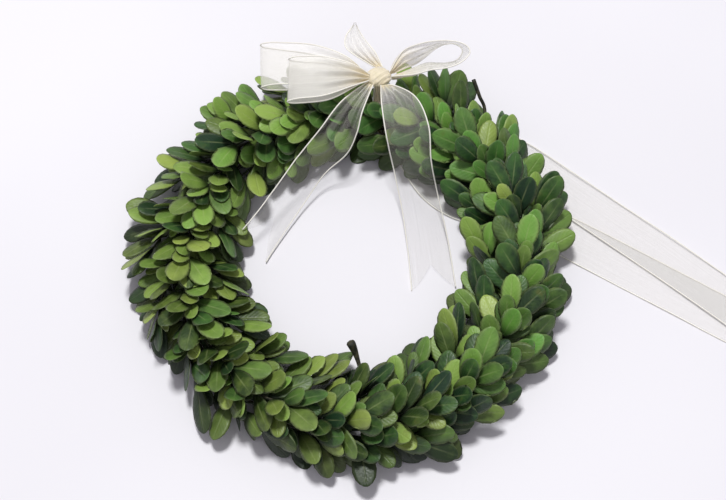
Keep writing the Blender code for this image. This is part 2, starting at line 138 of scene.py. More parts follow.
# The pieces of ribbon, each from the knot outward, with the grid that the leaves are kept clear of
ribbons = {
    "ribbon_band": ribbonStrip(20, 1, 0.0, bandPairs()),
    "bow_loop_left_back": ribbonStrip(18, 2, 0.0, edgePairs(
        (8.7, 114, 42.2, 8.7, 110.5, 41.8), (-3, 123, 46, -3, 108, 45.5), (-22, 131, 45, -21, 107, 43.5),
        (-42, 134, 42.5, -41, 108, 40.5), (-50, 134.5, 40.5, -49, 108, 38),
        (-52, 134.3, 38, -51, 108, 35.5), (-49, 134, 36, -48, 108, 33.5), (-40, 133, 35.5, -40, 108, 33),
        (-22, 129, 37.5, -22, 107, 36), (-4, 121, 40, -4, 108.5, 39), (8.7, 114, 40.9, 8.7, 111, 40.5))),
    "bow_loop_left_front": ribbonStrip(18, 2, 0.0, edgePairs(
        (11, 111.5, 46.3, 10.5, 108, 45), (0, 115, 52, 1, 101, 51), (-15, 117.5, 55.5, -14, 94, 54),
        (-28, 118, 55.5, -28, 92.5, 53.5), (-33.5, 118, 54, -33.5, 92, 52),
        (-35, 117.8, 52, -35, 92, 50), (-33, 117.5, 50.5, -33, 92, 48.7),
        (-27, 117.3, 50, -27, 92.5, 48), (-13, 116.5, 50, -12, 94.5, 48.6), (1, 112.5, 48, 2, 103, 47),
        (8.2, 110.3, 45, 8.2, 108, 43.7))),
    "bow_loop_right": ribbonStrip(22, 2, 0.0, edgePairs(
        (22.6, 114.3, 43.9, 22.9, 114.4, 40.6), (30, 123, 51, 30.5, 118, 38.5),
        (39.5, 124.8, 56, 39, 123.5, 37), (49.5, 125.6, 58.5, 48.5, 132.5, 36.5),
        (59.5, 125.6, 59.5, 57.5, 136.3, 36.5), (66.3, 122.6, 59.5, 63.5, 134, 36.5),
        (67.7, 118, 58.5, 64.2, 130, 36.5), (62.5, 113.2, 57.5, 60.5, 125.7, 36.5),
        (54.7, 111, 56, 53.5, 124, 36.5), (45, 110.8, 54, 44.2, 123.5, 36.5),
        (35.6, 109.8, 50.5, 35, 118, 37.5), (23.3, 111.3, 43.7, 23.6, 111.3, 40.2))),
    "bow_short_end": ribbonStrip(6, 2, 0.0, edgePairs(
        (13.5, 118, 42.8, 18.5, 118, 42.6), (-1, 127, 46.5, 14, 127, 45.5),
        (-2.8, 136.5, 45, 8, 136.5, 44), (1.8, 146.2, 42, 3.4, 146.2, 42))),
    "bow_tail_left": ribbonStrip(10, 2, 0.1, edgePairs(
        (9.5, 107.8, 43.4, 13, 106.3, 42.8), (-3, 96, 45.5, 7, 89, 44), (-10, 88, 45.5, 4, 79, 38),
        (-18, 77, 43, -2, 71, 27), (-28, 66, 36, -15, 64, 15), (-42, 50, 27, -27, 48, 6),
        (-61, 28, 17, -48, 14, 2))),
    "bow_tail_right": ribbonStrip(10, 2, 0.1, edgePairs(
        (17.5, 105.9, 43.2, 21.5, 106.8, 42.6), (18, 92, 45.5, 37, 96, 47.5), (21, 73, 40, 44, 78, 48.5),
        (25, 61, 22, 46, 62, 36), (30, 44, 8, 50, 50, 16), (33, 21, 2.5, 56, 26, 5),
        (35, -3, 1, 60, -1, 1))),
    "hanging_ribbon": ribbonStrip(36, 1, 0.0, stripPairs(
        (17, 99, 6.2, 0.2, 90), (30, 97, 3.4, 0.52, 90), (50, 95, 1.6, 0.84, 86), (75, 90, 1.5, 1, 76),
        (97, 79, 1.5, 1, 60), (124, 59, 1.5, 1, 53), (152, 38, 1.5, 1, 52.6), (180, 17, 1.5, 1, 52.6),
        (207, -4, 1.5, 1, 52.6), (231, -23, 2.6, 1, 53), (250, -37.5, 4.2, 1, 55),
        (260, -44.5, 4.1, 1, 56), (263.5, -47, 2.3, 1, 56), (259, -44, 0.5, 1, 57),
        (244, -36, 0.4, 1, 59), (217, -22.5, 0.4, 1, 60), (190, -7, 0.4, 1, 60.4),
        (162, 9, 0.4, 1, 60.4), (134, 25, 0.4, 1, 60.4), (110, 37.5, 0.4, 1, 60.8),
        (86, 46.5, 0.4, 1, 62), (63, 53.5, 0.4, 0.96, 62), (46, 64.5, 0.4, 0.8, 58),
        (30, 83, 1.4, 0.46, 56), (16.5, 98, 4.9, 0.2, 60)))}


# Sprigs
def makeSprig(number):
    bunch, lane = divmod(number, len(sprigPlan["laneAngles"]))
    draw = random.Random(sprigPlan["seed"] + number)
    laneAngle, bunches, wander = sprigPlan["laneAngles"][lane], sprigPlan["bunches"], sprigPlan["tipWander"]
    start = sprigPlan["firstBunch"] + laneAngle / bunches + bunch * 360 / bunches
    return {"name": f"sprig_{number + 1:02d}", "lane": lane, "bunch": bunch,
            "turn": math.radians(start) - sprigPlan["boundLength"] / 2 / ring["radius"],
            "side": math.radians(laneAngle),
            "drift": math.radians(draw.uniform(-sprigPlan["drift"], sprigPlan["drift"])),
            "tipReach": laneReach(lane, start) + draw.uniform(-wander, wander),
            "leaves": [], "spurs": []}


def laneReach(lane, degrees):
    # How far the stems' tips stand off the hoop: further where the foliage is wider
    turn = math.radians(degrees)
    if lane == 1:
        return sprigPlan["tipReach"]
    if lane == 0:
        return (reachAt(reachPlan["outer"], turn) - ring["radius"]) * sprigPlan["tipShare"]
    return (ring["radius"] - reachAt(reachPlan["inner"], turn)) * sprigPlan["tipShare"]


def reachAt(table, turn):
    spot = (turn / (2 * math.pi) * sprigPlan["bunches"]) % sprigPlan["bunches"]
    i = int(spot)
    return (table[i] + (table[(i + 1) % sprigPlan["bunches"]] - table[i]) * (spot - i)) * mm


def stemPoint(sprig, along):
    bound, first = sprigPlan["boundLength"], sprigPlan["boundReach"]
    rise = max(0.0, (along - bound) / (sprigPlan["stemLength"] - bound))
    reach = first + (sprig["tipReach"] - first) * rise ** sprigPlan["flare"]
    return ringPoint(sprig["turn"] + along / ring["radius"], sprig["side"] + sprig["drift"] * rise, reach)


def awayFromHoop(point):
    flat = Vector((point.x - ring["centre"].x, point.y - ring["centre"].y, 0))
    return (point - ring["centre"] - flat.normalized() * ring["radius"]).normalized()


def stemPoints(sprig):
    length, steps = sprigPlan["boundLength"], sprigPlan["freeSteps"]
    bound = [length * i / 2 for i in range(3)]
    free = [length + (sprigPlan["stemLength"] - length) * (i + 1) / steps for i in range(steps)]
    return [stemPoint(sprig, along) for along in bound + free]


# Leaves
def leafCentre(leaf, share):
    i = 0
    while share > leafPlan["stations"][i + 1]:
        i += 1
    t = (share - leafPlan["stations"][i]) / (leafPlan["stations"][i + 1] - leafPlan["stations"][i])
    halfWidth = leafPlan["halfWidths"][i] * (1 - t) + leafPlan["halfWidths"][i + 1] * t
    return leaf["centres"][i].lerp(leaf["centres"][i + 1], t), halfWidth * leaf["width"]


def bladeShape(leaf, grow=0.0, start=0.0):
    # A thin closed blade, widest past its middle: it runs to a point at the root and at the tip
    half = leafPlan["thickness"] / 2 + grow
    centre, halfWidth = leafCentre(leaf, start)
    tip = leaf["centres"][3] + (leaf["centres"][3] - leaf["centres"][2]).normalized() * grow
    points = [centre, tip - leaf["faces"][3] * half]
    for i in (1, 2):
        across = leaf["across"] * (leafPlan["halfWidths"][i] * leaf["width"] + grow)
        lift = leaf["faces"][i] * half
        middle = leaf["centres"][i]
        points += [middle - across + lift, middle + across + lift,
                   middle + across - lift, middle - across - lift]
    faces = []
    for i in range(4):
        j = (i + 1) % 4
        faces += [(0, 2 + j, 2 + i), (2 + i, 2 + j, 6 + j), (2 + i, 6 + j, 6 + i), (6 + i, 6 + j, 1)]
    return points, faces


def leafAlong(root, direction, length, width, roll, level):
    # Centre line = root + direction length s - face arch s (s - level)
    face = awayFromHoop(root + direction * length * leafPlan["belly"]) + up * leafPlan["upturn"]
    face = Quaternion(direction, roll) @ (face - direction * face.dot(direction)).normalized()
    centres = [root + direction * length * s - face * leafPlan["arch"] * s * (s - level)
               for s in leafPlan["stations"]]
    return {"centres": centres, "across": direction.cross(face), "faces": [face] * 4,
            "width": width, "length": length}


def aimLeaf(sprig, along, spread, around, roll, size):
    root = stemPoint(sprig, along)
    heading = (stemPoint(sprig, along + mm) - stemPoint(sprig, along - mm)).normalized()
    away = awayFromHoop(root)
    away = (away - heading * away.dot(heading)).normalized()
    sideways = away * math.cos(around) + heading.cross(away) * math.sin(around)
    direction = heading * math.cos(spread) + sideways * math.sin(spread)
    return leafAlong(root, direction, leafPlan["length"] * size, leafPlan["width"] * size, roll, 0)


def restingLeaf(sprig, along, outward):
    # A leaf that comes down beside the stem and is pressed flat on the surface at its tip
    root = stemPoint(sprig, along)
    radial = Vector((root.x - ring["centre"].x, root.y - ring["centre"].y, 0)).normalized()
    forward = up.cross(radial)
    bearing = (radial * outward + forward * restingPlan["forward"]).normalized()
    heights = [root.z, root.z * restingPlan["drop"], leafPlan["thickness"] / 2, leafPlan["thickness"] / 2]
    centres = [root]
    for i in range(3):
        step = leafPlan["length"] * (leafPlan["stations"][i + 1] - leafPlan["stations"][i])
        run = math.sqrt(step ** 2 - (heights[i + 1] - heights[i]) ** 2)
        centres.append(centres[-1] + bearing * run + up * (heights[i + 1] - heights[i]))
    slope = (centres[1] - centres[0]).normalized()
    across = bearing.cross(up)
    lean = across.cross(slope)
    return {"centres": centres, "across": across, "faces": [lean, lean, up, up],
            "width": leafPlan["width"], "length": leafPlan["length"], "resting": True}


def leafInReach(leaf):
    tip = leaf["centres"][3] - ring["centre"]
    turn, far = math.atan2(tip.y, tip.x), math.hypot(tip.x, tip.y)
    if (leaf["centres"][3] - place(*knotPlan["centre"])).length < knotPlan["clear"]:
        return False
    return reachAt(reachPlan["inner"], turn) <= far <= reachAt(reachPlan["outer"], turn)


def leafClears(leaf, sprig, site):
    lowest = min(point.z for point in bladeShape(leaf)[0])
    if lowest < leafPlan["surfaceClear"] and not leaf.get("resting"):
        return False
    whole = BVHTree.FromPolygons(*bladeShape(leaf, leafPlan["gap"]))
    blade = BVHTree.FromPolygons(*bladeShape(leaf, leafPlan["gap"], leafPlan["freeShare"]))
    if any(blade.overlap(tree) for tree in site["ribbons"]):
        return False
    middle = leaf["centres"][1]
    for owner, centre, size, tree, freeTree in site["solids"]:
        if (centre - middle).length > size + leaf["length"] * leafPlan["bound"]:
            continue
        if blade.overlap(freeTree) if owner == sprig["name"] else whole.overlap(tree):
            return False
    return True


def addLeaf(leaf, sprig, site):
    sprig["leaves"].append(leaf)
    whole = BVHTree.FromPolygons(*bladeShape(leaf))
    blade = BVHTree.FromPolygons(*bladeShape(leaf, 0.0, leafPlan["freeShare"]))
    size = leaf["length"] * leafPlan["bound"]
    site["solids"].append((sprig["name"], leaf["centres"][1], size, whole, blade))


def leafGrows(leaf, sprig, site):
    # Adds the leaf if there is room for it
    fits = leafInReach(leaf) and leafClears(leaf, sprig, site)
    if fits:
        addLeaf(leaf, sprig, site)
    return fits


def mirrored(sprig):
    return 1 if (sprig["bunch"] + sprig["lane"]) % 2 else -1


def planWreath():
    # Places the stems first, then the leaves from the tips inward, each clear of all that is there already
    sprigs = [makeSprig(number) for number in range(sprigPlan["bunches"] * len(sprigPlan["laneAngles"]))]
    addSpurs(sprigs)
    site = {"ribbons": [BVHTree.FromPolygons(*knotShape())], "solids": []}
    lift = ribbonPlan["thickness"] / 2 + leafPlan["gap"]
    for ribbon in ribbons.values():
        quads = stripQuads(ribbon["rows"], ribbon["columns"])
        faces = np.concatenate([quads[:, [0, 3, 2]], quads[:, [0, 2, 1]]]).tolist()
        middle = ribbonPoints(ribbon, ribbon["rows"], ribbon["columns"]).reshape(-1, 3)
        for shift in (-lift, lift):
            site["ribbons"].append(BVHTree.FromPolygons((middle + (0, 0, shift)).tolist(), faces))
    hoop = [ringPoint(2 * math.pi * i / ring["segments"], 0, 0) for i in range(ring["segments"] + 1)]
    binding = bindingPoints()
    for points, wire in ((hoop, ring["wire"]), (binding + binding[:1], bindingPlan["wire"])):
        tree = tubeTree(points, wire / 2)
        site["solids"].append(("core", ring["centre"], 2 * ring["radius"], tree, tree))
    for sprig in sprigs:
        for points in [stemPoints(sprig)] + [spur for spur, swelling in sprig["spurs"]]:
            tree = tubeTree(points, sprigPlan["stemWidth"] / 2)
            middle, reach = (points[0] + points[-1]) / 2, (points[0] - points[-1]).length / 2
            site["solids"].append((sprig["name"], middle, reach, tree, tree))
    for sprig in sprigs:
        if sprig["lane"] != 1 and sprig["bunch"] % 2 == 0:
            outward = 1.0 if sprig["lane"] == 0 else -1.0
            leafGrows(restingLeaf(sprig, restingPlan["along"], outward), sprig, site)
    for pairNumber, (along, spread, turns) in enumerate(leafPlan["pairs"]):
        for sprig in sprigs:
            for around in turns:
                placeLeaf(sprig, pairNumber, along * mm, spread, around * mirrored(sprig), site)
    return sprigs, site


def placeLeaf(sprig, pairNumber, along, spread, around, site):
    draw = random.Random(sprig["name"] + f"{pairNumber}{around}")
    for attempt in range(leafPlan["tries"]):
        wander = leafPlan["firstWander"] + leafPlan["nextWander"] * attempt
        sizes = leafPlan["fullSizes"] if attempt < leafPlan["fullTries"] else leafPlan["smallSizes"]
        size = draw.uniform(*sizes)
        spot = along + draw.uniform(-leafPlan["wander"], leafPlan["wander"])
        apart = math.radians(spread + draw.gauss(0, wander / 2))
        turned = math.radians(around + draw.gauss(0, wander))
        roll = math.radians(draw.gauss(0, leafPlan["firstRoll"] + leafPlan["nextRoll"] * attempt))
        if leafGrows(aimLeaf(sprig, spot, apart, turned, roll, size), sprig, site):
            return


def addSpurs(sprigs):
    # Bare side twigs, each from a place along one sprig's stem to points in millimetres
    for number, along, swelling, points in twigs:
        sprig = sprigs[number - 1]
        sprig["spurs"].append(([stemPoint(sprig, along)] + [place(*point) for point in points], swelling))


def bindingPoints():
    # One turn for each bunch, so that it crosses every stem at the middle of its bound length
    points = []
    for i in range(sprigPlan["bunches"] * bindingPlan["pointsPerTurn"]):
        side = 2 * math.pi * i / bindingPlan["pointsPerTurn"]
        turn = math.radians(sprigPlan["firstBunch"]) + side / sprigPlan["bunches"]
        points.append(ringPoint(turn, side, bindingPlan["reach"]))
    return points


def knotShape():
    ball = bmesh.new()
    bmesh.ops.create_uvsphere(ball, u_segments=10, v_segments=7, radius=0.5)
    size = knotPlan["size"]
    points = [Vector([vertex.co[i] * size[i] * mm for i in range(3)]) + place(*knotPlan["centre"])
              for vertex in ball.verts]
    faces = [[vertex.index for vertex in face.verts] for face in ball.faces]
    ball.free()
    return points, faces


# Leaf tips that make the outline's own bumps: their pixels in the photograph and a height in millimetres
outlineTips = (
    (207, 104, 22), (222, 92, 24), (241, 84, 18), (257, 86, 26), (214, 98, 34), (166, 150, 20),
    (181, 143, 24), (197, 141, 34), (160, 158, 10), (128, 212, 20), (123, 256, 26), (213, 440, 8),
    (367, 487, 14), (458, 459, 2), (558, 348, 8), (549, 360, 14), (552, 338, 18), (557, 171, 26),
    (571, 213, 18), (575, 233, 24), (568, 195, 16), (415, 71, 28), (429, 68, 30), (445, 66, 32),
    (461, 70, 28), (513, 114, 26), (472, 82, 18), (447, 297, 10), (456, 290, 22), (443, 308, 22),
    (424, 337, 14), (436, 334, 20), (412, 343, 8), (241, 262, 14), (246, 280, 14), (249, 295, 22),
    (270, 318, 20), (286, 343, 12), (325, 357, 18), (338, 354, 20), (352, 352, 14), (126, 204, 14),
    (204, 434, 10), (206, 420, 4), (186, 391, 14), (147, 340, 8), (136, 310, 4), (458, 456, 14),
    (505, 412, 20), (522, 388, 20), (566, 280, 4), (561, 176, 28), (252, 286, 6), (272, 324, 12),
    (430, 338, 12), (474, 100, 24), (506, 114, 24), (330, 478, 14), (263, 91, 20), (281, 78, 18),
    (287, 90, 22), (320, 90, 24))
# The leaf to such a tip grows from the sprig and place that give it the most usual length, angle and turn
outlinePlan = {
    "rises": (0, -4, 4), "lowest": 2, "middle": 35 * mm, "near": 60 * mm, "alongs": range(14, 59, 3),
    "turns": (0, -25, 25, -50, 50), "lengths": (19 * mm, 29.5 * mm), "usual": 25.5 * mm,
    "bend": 45, "mostBend": 80, "tip": 30, "bendCost": 0.12, "turnCost": 0.04, "rootCost": 0.1}

# Smaller leaves that grow into the gaps between the others, in pairs from the stems' tips to their roots
fillPlan = {
    "pairs": ((57, 8, (15, 190)), (52, 40, (25, -115, 150)), (47, 38, (0, 60, -60)),
              (41, 46, (10, -140, 115)), (36, 42, (40, -40, 95)), (31, 48, (-100, 60, 0)),
              (25, 52, (-10, 100, -140)), (18, 58, (0, -60, 60)), (13, 62, (120, -120, 20))),
    "tries": 10, "sizes": (0.66, 0.98), "shift": 2, "firstWander": 12, "nextWander": 2, "roll": 12,
    "fromKnot": 24 * mm, "belowKnot": 2 * mm}


def fromPhoto(x, y, height):
    # The point at that height, in millimetres, which the photograph shows at that pixel
    tilt = math.radians(view["elevation"])
    forward = Vector((0, math.cos(tilt), -math.sin(tilt)))
    rise = Vector((0, math.sin(tilt), math.cos(tilt)))
    across = (x - view["image"][0] / 2) * view["pixel"] / view["distance"]
    above = (view["image"][1] / 2 - y) * view["pixel"] / view["distance"]
    ray = forward + Vector((across, 0, 0)) + rise * above
    eye = place(*view["target"]) - forward * view["distance"]
    return eye + ray * ((height * mm - eye.z) / ray.z)


def waysToReach(sprigs, tip):
    # Each way is a cost, with the sprig, the place along its stem and the turn about the leaf's length
    plan, ways = outlinePlan, []
    shortest, longest = plan["lengths"]
    for number, sprig in enumerate(sprigs):
        if (stemPoint(sprig, plan["middle"]) - tip).length > plan["near"]:
            continue
        for along in plan["alongs"]:
            root = stemPoint(sprig, along * mm)
            length = (tip - root).length
            if not shortest < length < longest:
                continue
            heading = stemPoint(sprig, (along + 1) * mm) - stemPoint(sprig, (along - 1) * mm)
            bend = math.degrees(heading.angle(tip - root))
            if bend > plan["mostBend"]:
                continue
            cost = abs(length - plan["usual"]) / mm + max(0, bend - plan["bend"]) * plan["bendCost"]
            cost += max(0, plan["tip"] - along) * plan["rootCost"]
            ways += [(cost + abs(turn) * plan["turnCost"], number, along, turn) for turn in plan["turns"]]
    return ways


def reachLeaf(sprig, along, tip, roll):
    root = stemPoint(sprig, along)
    length = (tip - root).length
    width = leafPlan["width"] * length / leafPlan["length"]
    return leafAlong(root, (tip - root).normalized(), length, width, roll, 1)


def growOutlineLeaves(sprigs, site):
    for x, y, height in outlineTips:
        tips = [fromPhoto(x, y, max(height + rise, outlinePlan["lowest"])) for rise in outlinePlan["rises"]]
        ways = [(*way, tip) for tip in tips for way in waysToReach(sprigs, tip)]
        for cost, number, along, turn, tip in sorted(ways, key=lambda way: way[:4]):
            leaf = reachLeaf(sprigs[number], along * mm, tip, math.radians(turn))
            if leafClears(leaf, sprigs[number], site):
                addLeaf(leaf, sprigs[number], site)
                break


def fillSprigs(sprigs, site):
    for pairNumber, (along, spread, turns) in enumerate(fillPlan["pairs"]):
        for sprig in sprigs:
            for around in turns:
                fillGap(sprig, pairNumber, along, spread, around, site)


def fillGap(sprig, pairNumber, along, spread, around, site):
    plan, draw = fillPlan, random.Random(sprig["name"] + f"fill{pairNumber}{around}")
    for attempt in range(plan["tries"]):
        wander = plan["firstWander"] + plan["nextWander"] * attempt
        spot = (along + draw.uniform(-plan["shift"], plan["shift"])) * mm
        apart = math.radians(spread + draw.gauss(0, wander / 2))
        turned = math.radians(around * mirrored(sprig) + draw.gauss(0, wander))
        roll = math.radians(draw.gauss(0, plan["roll"]))
        leaf = aimLeaf(sprig, spot, apart, turned, roll, draw.uniform(*plan["sizes"]))
        offset = leaf["centres"][3] - place(*knotPlan["centre"])
        atKnot = offset.y > plan["belowKnot"] and offset.xy.length < plan["fromKnot"]
        if not atKnot and leafGrows(leaf, sprig, site):
            return


# Surfaces as whole arrays
noTriangles = np.zeros((0, 3), int)
tubeEnd = 0.3  # how far a tube's end point stands off its last ring, as a share of the radius


def unit(vectors):
    return vectors / np.maximum(np.linalg.norm(vectors, axis=-1, keepdims=True), 1e-12)


def splineAt(points, u):
    # Catmull-Rom curve: p = (2b + (c-a)t + (2a-5b+4c-d)t^2 + (3b-a-3c+d)t^3) / 2
    points = np.array([tuple(point) for point in points])
    final = len(points) - 1
    spot = np.clip(u, 0, 1) * final
    i = np.minimum(spot.astype(int), final - 1)
    t = (spot - i)[..., None]
    a, b, c, d = points[np.maximum(i - 1, 0)], points[i], points[i + 1], points[np.minimum(i + 2, final)]
    square, cube = 2 * a - 5 * b + 4 * c - d, 3 * b - a - 3 * c + d
    return (2 * b + (c - a) * t + square * t ** 2 + cube * t ** 3) / 2


def gridFaces(rows, around, closedRows=False):
    # Quads of a grid whose columns close on themselves
    r = np.arange(rows if closedRows else rows - 1)[:, None]
    k = np.arange(around)[None]
    here, above, beside = r * around, (r + 1) % rows * around, (k + 1) % around
    return np.stack([here + k, here + beside, above + beside, above + k], -1).reshape(-1, 4)


def endCaps(around, first, last, lastRing):
    # Triangles from the point "first" to a grid's first ring and from the point "last" to its last one
    k = np.arange(around)
    beside = (k + 1) % around
    return np.concatenate([np.stack([k * 0 + first, beside, k], -1),
                           np.stack([k * 0 + last, lastRing + k, lastRing + beside], -1)])


def tubeSurface(path, radii, around, closed=False, lean=(0, 0, 1)):
    # P(i, a) = path(i) + radii(i) (side cos a + lift sin a); an open tube's ends each run to a point
    path = np.asarray(path, float)
    radii = np.broadcast_to(np.asarray(radii, float), (len(path),))
    heading = unit(np.roll(path, -1, 0) - np.roll(path, 1, 0) if closed else np.gradient(path, axis=0))
    side = unit(np.cross(heading, lean))
    lift = np.cross(side, heading)
    angle = (np.arange(around) * 2 * np.pi / around)[None, :, None]
    spokes = side[:, None] * np.cos(angle) + lift[:, None] * np.sin(angle)
    points = (path[:, None] + spokes * radii[:, None, None]).reshape(-1, 3)
    faces = gridFaces(len(path), around, closed)
    if closed:
        return points, faces, noTriangles
    caps = endCaps(around, len(points), len(points) + 1, (len(path) - 1) * around)
    ends = [path[:1] - heading[:1] * radii[0] * tubeEnd, path[-1:] + heading[-1:] * radii[-1] * tubeEnd]
    return np.concatenate([points] + ends), faces, caps


def tubeTree(points, radius):
    # A four-sided tube, for testing what stands in a leaf's way
    corners, faces, caps = tubeSurface([tuple(point) for point in points], radius, 4)
    return BVHTree.FromPolygons(corners.tolist(), faces.tolist())


def stripQuads(rows, columns):
    # Quads of a grid that is open on all sides
    here = np.arange(rows)[:, None] * (columns + 1) + np.arange(columns)[None]
    return np.stack([here, here + columns + 1, here + columns + 2, here + 1], -1).reshape(-1, 4)


def ribbonPoints(ribbon, rows, columns):
    # P(u, v) = first(c) (1 - v) + second(c) v, c = u (1 - notch (1 - |2v - 1|)): u runs along the ribbon and
    # v across it, and a notched end is cut back most at its middle
    u, v = np.linspace(0, 1, rows + 1)[:, None], np.linspace(0, 1, columns + 1)[None]
    cut = u * (1 - ribbon["notch"] * (1 - np.abs(2 * v - 1)))
    first, second = (splineAt([pair[side] for pair in ribbon["edges"]], cut) for side in (0, 1))
    return first * (1 - v[..., None]) + second * v[..., None]


def joined(surfaces):
    # The points, quads and triangles of several surfaces as one
    shifts = np.cumsum([0] + [len(surface[0]) for surface in surfaces])
    quads, caps = ([surface[i] + shift for surface, shift in zip(surfaces, shifts)] for i in (1, 2))
    return np.concatenate([surface[0] for surface in surfaces]), np.concatenate(quads), np.concatenate(caps)


def addSurface(name, points, quads, triangles, finishes, slots=None):
    mesh = bpy.data.meshes.new(name)
    mesh.from_pydata(points.tolist(), [], quads.tolist() + triangles.tolist())
    mesh.polygons.foreach_set("use_smooth", np.full(len(mesh.polygons), True))
    for finish in finishes:
        mesh.materials.append(finish)
    if slots is not None:
        mesh.polygons.foreach_set("material_index", slots)
    piece = bpy.data.objects.new(name, mesh)
    bpy.context.scene.collection.objects.link(piece)
    return piece


def addMarks(piece, name, kind, values):
    # One value for each point, which the piece's finish reads
    mark = piece.data.attributes.new(name, kind, "POINT")
    key = {"FLOAT_COLOR": "color", "FLOAT_VECTOR": "vector"}[kind]
    mark.data.foreach_set(key, np.ascontiguousarray(values, dtype=np.float32).ravel())


def settle(piece, slot, *nodes):
    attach(piece, "root")
    if nodes:
        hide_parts(*nodes)


# Finishes; a node's or socket's id_data is the node tree that it is in
def feed(item, key, value):
    if isinstance(value, bpy.types.NodeSocket):
        item.id_data.links.new(value, item.inputs[key])
    else:
        item.inputs[key].default_value = value


def newNode(near, kind, *values, **settings):
    # A node in the same tree as the near one, with its first inputs fed in order
    item = near.id_data.nodes.new("ShaderNode" + kind)
    for key, value in settings.items():
        setattr(item, key, value)
    for key, value in enumerate(values):
        feed(item, key, value)
    return item


def newFinish(name, color, roughness):
    material = bpy.data.materials.new(name)
    material.use_nodes = True
    shader = material.node_tree.nodes["Principled BSDF"]
    feed(shader, "Base Color", (*color, 1))
    feed(shader, "Roughness", roughness)
    return material, shader


def calc(operation, a, b=0.0, clamp=False):
    near = a if isinstance(a, bpy.types.NodeSocket) else b
    return newNode(near, "Math", a, b, operation=operation, use_clamp=clamp).outputs[0]


def plus(a, b, clamp=False):
    return calc("ADD", a, b, clamp)


def minus(a, b, clamp=False):
    return calc("SUBTRACT", a, b, clamp)


def times(a, b):
    return calc("MULTIPLY", a, b)


def about(value, middle, share):
    # share (value - middle)
    return times(minus(value, middle), share)


def ramp(value, low, high, first=0.0, last=1.0):
    # Smooth step from first at low to last at high
    step = newNode(value, "MapRange", value, low, high, first, last, interpolation_type="SMOOTHSTEP")
    return step.outputs[0]


def blendColor(share, a, b):
    item = newNode(share, "Mix", share, data_type="RGBA")
    for key, color in ((6, a), (7, b)):
        feed(item, key, color if isinstance(color, bpy.types.NodeSocket) else (*color, 1))
    return item.outputs[2]


def readMark(shader, name, key):
    mark = newNode(shader, "Attribute", attribute_name=name).outputs[key]
    return newNode(mark, "SeparateColor" if key == "Color" else "SeparateXYZ", mark).outputs


def ownPlace(shader):
    return newNode(shader, "TexCoord").outputs["Object"]


def noiseAt(source, scale, detail):
    noise = newNode(source, "TexNoise", source)
    feed(noise, "Scale", scale)
    feed(noise, "Detail", detail)
    return noise.outputs[0]


def speckle(shader, scale, detail, shift=None):
    # Noise on the piece's own coordinates; a mark as shift gives each leaf its own
    source = ownPlace(shader)
    if shift is not None:
        source = newNode(shader, "VectorMath", source, shift).outputs[0]
    return noiseAt(source, scale, detail)


def addBump(shader, height, strength, distance):
    bump = newNode(shader, "Bump")
    for key, value in (("Strength", strength), ("Distance", distance), ("Height", height)):
        feed(bump, key, value)
    feed(shader, "Normal", bump.outputs[0])


def speckledFinish(name, look):
    # Soft specks of two colours; the relief is a finer speckle, or the specks themselves
    material, shader = newFinish(name, look["base"], look["roughness"])
    specks = ramp(speckle(shader, *look["specks"]), *look["between"])
    feed(shader, "Base Color", blendColor(specks, look["dark"], look["light"]))
    for key, value in look.get("more", {}).items():
        feed(shader, key, value)
    if "relief" in look:
        addBump(shader, speckle(shader, *look["fine"]) if "fine" in look else specks, *look["relief"])
    return material


# Ramps are given as where they start and end, then the shares there
leafLook = {
    "deepGreen": (0.006, 0.030, 0.011), "freshGreen": (0.125, 0.345, 0.050),
    "deepOlive": (0.026, 0.052, 0.006), "freshOlive": (0.335, 0.440, 0.085),
    "pale": (0.40, 0.46, 0.20), "underside": (0.20, 0.25, 0.10), "brown": (0.10, 0.055, 0.015),
    "shade": (0.004, 0.012, 0.004), "roughness": 0.44, "shine": (0.2, 0.8, 0.36, 0.60),
    # Painted light and shade on each leaf: darker at its root, lighter at its tip, darker at its edges
    "mottle": (150.0, 3.0), "grain": (1400.0, 2.0), "mottling": 0.75, "paintedLightToTip": (0.55, 0.22),
    "edgeShade": 0.12, "grainOlive": 0.25, "rimLine": (0.86, 0.97, 0.0, 0.18),
    # Painted highlight: the broad pale rim is brighter on lighter leaves
    "paintedRimHighlight": (0.35, 0.95, 0.0, 0.20), "rib": (0.10, 0.03), "ribFade": (1.0, 0.5, 0.0, 0.22),
    "spots": (0.63, 0.78, 0.0, 0.35), "undersideShare": 0.6,
    # Painted shade: low and stalk darken the leaves towards the shade colour near the surface and near each
    # stalk
    "low": (3 * mm, 28 * mm, 0.22, 1.0), "stalk": (0.06, 0.52, 0.12, 1.0),
    "veins": 62.0, "veinSlant": 16.0, "veinDepth": 0.16, "groove": (0.0, 0.13, -1.0, 0.0),
    "grainDepth": 0.5, "bump": (0.55, 0.25 * mm)}


